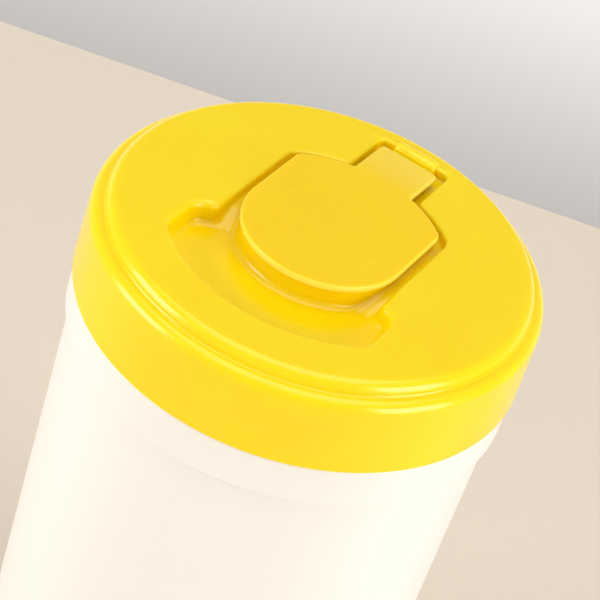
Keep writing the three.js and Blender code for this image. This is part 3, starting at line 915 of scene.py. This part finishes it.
def makeRoll(r):
    pitch = (r["radius"] - r["hole"]) / r["turns"]
    upper, lower = [], []
    for k in range(r["turns"]):
        outer = r["radius"] - k * pitch
        start, flatFrom, flatTo = outer - r["gap"], outer - r["crestFrom"] * pitch, outer - r["crestTo"] * pitch
        wobble = r["wobble"] * noise.noise(Vector((k * 1.7, 0, 0)))
        crest = r["top"] - r["crestDrop"] - abs(wobble)
        upper += [(start, crest - r["ridge"]), (flatFrom, crest), (flatTo, crest)]
        lower = [(flatTo, r["bottom"]), (flatFrom, r["bottom"]), (start, r["bottom"] + r["ridge"])] + lower
    upper.append((r["hole"], r["top"] - r["holeDrop"]))
    lower.insert(0, (r["hole"], r["bottom"] + r["holeDrop"]))
    bm = bmesh.new()
    levels = np.linspace(r["bottom"] + r["endRows"], r["top"] - r["endRows"], r["sideRows"])
    sides = [(r["radius"], z) for z in levels]
    inner = [(r["hole"], z) for z in levels[::-1]]
    spinPath(bm, lower + sides + upper + inner, steps=144, closed=True)
    for vert in bm.verts:     # small dents on the top and the side, as a cloth roll has
        if vert.co.z > (r["top"] - r["topBand"]) * mm:
            vert.co.z -= abs(noise.noise(vert.co * r["topDentScale"])) * r["topDent"] * mm
        distance = math.hypot(vert.co.x, vert.co.y)
        if distance > (r["radius"] - 0.1) * mm:
            dent = 1 - r["sideDent"] * mm * abs(noise.noise(vert.co * r["sideDentScale"])) / distance
            vert.co.x *= dent
            vert.co.y *= dent
    return finishPiece(bm, "wipesRoll", "canister", wipeCloth, ["wipes_roll"], sharpAngle=70)


makeRoll(roll)
print("wipes roll made")


# Lead wipe, twisted through the lid's opening
lead = {
    "wide": 13.0, "neck": 2.25, "bottom": 146.0, "gathered": 184.0, "top": 197.1, "centre": 3.5,
    "folds": 7, "foldDepth": 0.16, "twist": 3.4, "rows": 64, "spokes": 112, "ragged": 0.5, "tipDrop": 0.9,
    "flat": (0.052, 0.044),     # metres
}


def makeLeadWipe(w):
    bm = bmesh.new()
    angles = np.linspace(0, 2 * math.pi, w["spokes"] + 1)[:-1]
    rows = []
    for share in np.linspace(0, 1, w["rows"] + 1):
        level = w["bottom"] + (w["top"] - w["bottom"]) * share
        gather = float(smoothStep(w["bottom"], w["gathered"], level))
        radius = w["wide"] + (w["neck"] - w["wide"]) * gather
        swirl = angles - w["twist"] * share * (0.4 + share)
        wave = np.cos(w["folds"] * swirl) * 0.7 + np.cos(3 * swirl + 1) * 0.3
        fold = 1 + w["foldDepth"] * wave * min(1, 0.3 + gather)
        ragged = w["ragged"] * np.sin(5 * angles + 0.7) if share == 1 else 0 * angles
        x, y = radius * fold * np.cos(angles), radius * fold * np.sin(angles) + w["centre"] * gather
        rows.append(np.column_stack([x, y, level + np.minimum(ragged, 0)]))
    last = growLoops(bm, startLoop(bm, rows[0]), rows[1:])
    tip = rows[-1] * (0.5, 0.5, 1) + (0, w["centre"] * 0.5, -w["tipDrop"])     # half as wide
    tail = growLoops(bm, last, [tip])
    bmesh.ops.contextual_create(bm, geom=tail)
    bmesh.ops.recalc_face_normals(bm, faces=bm.faces)
    piece = finishPiece(bm, "leadWipe", "canister", wipeCloth, ["lead_wipe"], sharpAngle=80)
    return piece


makeLeadWipe(lead)
print("lead wipe made")


# Floor, backdrop and light
stageLook = {
    "floor": "#DBCEBD", "backdrop": "#FAF7F4", "edge": 335, "size": 1600, "sink": 0.05,
    "backdropAway": 1.6, "backdropWide": 2, "backdropTop": 300, "backdropBottom": -400,
    "world": 0.42, "worldColour": "#FFFFFF", "lampAim": 190,
    "lamps": {
        "leftSoftbox": {"azimuth": -68, "elevation": 11, "distance": 900, "size": (480, 640), "power": 5.5},
        "rightSoftbox": {"azimuth": 62, "elevation": 12, "distance": 900, "size": (480, 640), "power": 5.7},
        "topSoftbox": {"azimuth": 0, "elevation": 89, "distance": 1000, "size": (1000, 1000), "power": 5.4},
    },
}


def stageMaterial(name, hexCode):
    return startMaterial(name, {"Base Color": sRgb(hexCode), "Roughness": 0.85})[0]


def makeStagePlane(name, half, low, high, material):
    # rectangle between a low and a high edge, each (distance behind the axis, height), turned with the camera
    turn = Matrix.Rotation(math.radians(cameraPlace["heading"]), 4, "Z")
    bm = bmesh.new()
    bmesh.ops.create_grid(bm, x_segments=1, y_segments=1, size=1)
    for vert in bm.verts:
        y, z = high if vert.co.y > 0 else low
        vert.co = turn @ Vector((vert.co.x * half, y, z)) * mm
    mesh = bpy.data.meshes.new(name)
    bm.to_mesh(mesh)
    bm.free()
    mesh.materials.append(material)
    plane = bpy.data.objects.new(name, mesh)
    bpy.context.collection.objects.link(plane)


def makeStage(s):
    size, level, behind = s["size"], -s["sink"], s["edge"] * s["backdropAway"]
    table = stageMaterial("paleTable", s["floor"])
    makeStagePlane("floor", size, (-size, level), (s["edge"], level), table)
    paper = stageMaterial("paleBackdrop", s["backdrop"])
    low, high = (behind, s["backdropBottom"]), (behind, s["backdropTop"])
    makeStagePlane("backdrop", s["backdropWide"] * size, low, high, paper)


def makeLamps(s):
    target = Vector((0, 0, s["lampAim"] * mm))
    for name, lamp in s["lamps"].items():
        azimuth = math.radians(lamp["azimuth"] + cameraPlace["heading"])
        elevation = math.radians(lamp["elevation"])
        level = math.cos(elevation)
        back = Vector((math.sin(azimuth) * level, -math.cos(azimuth) * level, math.sin(elevation)))
        data = bpy.data.lights.new(name, "AREA")
        data.shape = "RECTANGLE"
        data.size, data.size_y = lamp["size"][0] * mm, lamp["size"][1] * mm
        data.energy = lamp["power"]
        light = bpy.data.objects.new(name, data)
        light.location = target + back * lamp["distance"] * mm
        light.rotation_euler = (-back).to_track_quat("-Z", "Y").to_euler()
        bpy.context.collection.objects.link(light)
    world = bpy.data.worlds.new("softRoom")
    bpy.context.scene.world = world
    world.use_nodes = True
    background = world.node_tree.nodes["Background"]
    background.inputs["Color"].default_value = sRgb(s["worldColour"])
    background.inputs["Strength"].default_value = s["world"]


makeStage(stageLook)
makeLamps(stageLook)
bpy.context.scene.view_settings.view_transform = "Standard"
print("stage and light made")
